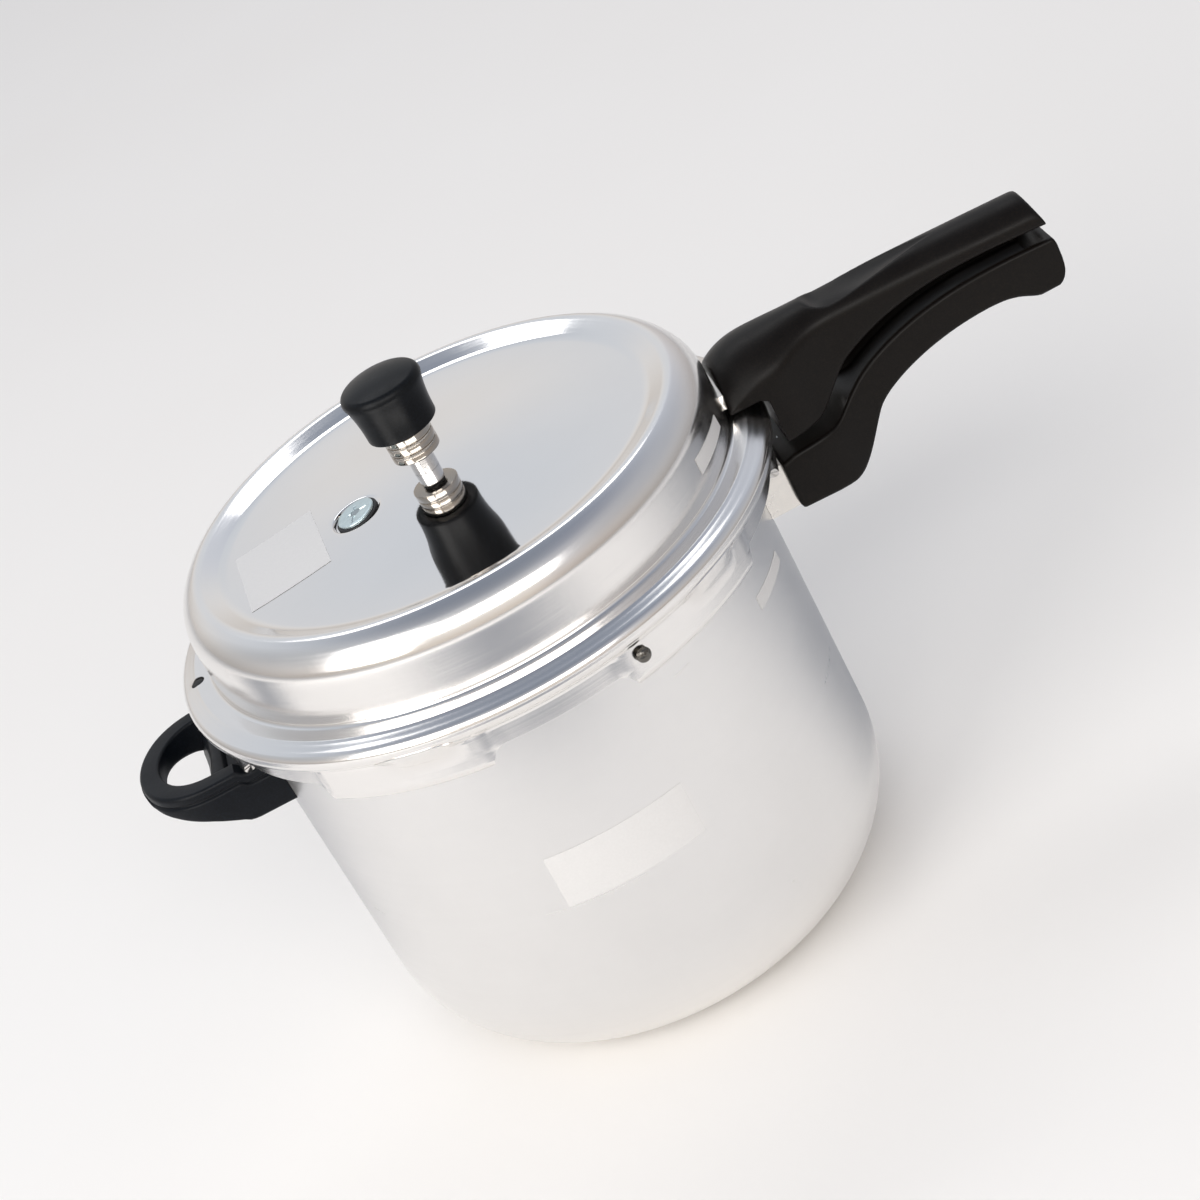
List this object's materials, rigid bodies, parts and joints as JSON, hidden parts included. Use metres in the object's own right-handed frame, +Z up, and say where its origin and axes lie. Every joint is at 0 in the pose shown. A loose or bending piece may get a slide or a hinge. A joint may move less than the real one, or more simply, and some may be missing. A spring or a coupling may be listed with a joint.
{
  "type": "stovetop pressure cooker",
  "caption": "Stovetop pressure cooker: round aluminium pot, outer bayonet lid, lift-off vent weight, safety plug, two-part main handle and loop helper handle.",
  "frame": {"origin": "centre of the pot's flat base", "axes": "+Z up, +X along the main handle"},
  "size_m": [0.4146, 0.2536, 0.2754],
  "materials": {
    "satin_aluminium": "fine satin, drawn and buffed",
    "polished_aluminium": "mirror polished by buffing",
    "steel": "bright pressed steel",
    "aluminium_rivet": "satin",
    "phenolic": "moulded black phenolic, low sheen",
    "weight_phenolic": "moulded black phenolic, soft gloss",
    "gasket_rubber": "matt",
    "plug_rubber": "matt",
    "zinc": "stamped and zinc plated",
    "alloy": "dull fusible alloy",
    "brass": "turned",
    "bright_steel": "turned and polished",
    "dark_steel": "dark domed head"
  },
  "bodies": {
    "pot": {"body_pot": "satin_aluminium", "body_bracket": "steel", "body_bracket_rivets": "aluminium_rivet", "body_handle": "phenolic", "body_handle_screw": "steel", "body_handle_nut": "steel", "helper_bracket": "steel", "helper_bracket_rivets": "aluminium_rivet", "helper_handle": "phenolic", "helper_screw": "steel", "helper_nut": "steel"},
    "gasket": {"gasket": "gasket_rubber"},
    "lid": {"lid_shell": "polished_aluminium", "lid_bracket": "steel", "lid_bracket_rivets": "aluminium_rivet", "lid_handle": "phenolic", "lid_handle_screw": "steel", "lid_handle_insert": "brass", "stop_rivet": "dark_steel", "plug_body": "zinc", "plug_ring": "plug_rubber", "plug_core": "alloy", "plug_nut": "brass", "vent_tube": "bright_steel", "vent_seal": "plug_rubber", "vent_nut": "brass"},
    "weight_pin": {"weight_pin": "bright_steel"},
    "weight": {"weight_body": "bright_steel", "weight_cap": "weight_phenolic"}
  },
  "joints": [
    {"name": "lid_lift", "type": "slide", "parent": "pot", "child": "gasket", "axis": [0, 0, 1], "range_m": [0, 0.12]},
    {"name": "lid_turn", "type": "hinge", "parent": "gasket", "child": "lid", "pos_m": [0, 0, 0.19], "axis": [0, 0, 1], "range_deg": [-30, 0]},
    {"name": "weight_lift", "type": "slide", "parent": "lid", "child": "weight_pin", "axis": [0, 0, 1], "range_m": [0, 0.03]},
    {"name": "weight_spin", "type": "hinge", "parent": "weight_pin", "child": "weight", "pos_m": [0, 0, 0.26], "axis": [0, 0, 1], "continuous": true}
  ]
}
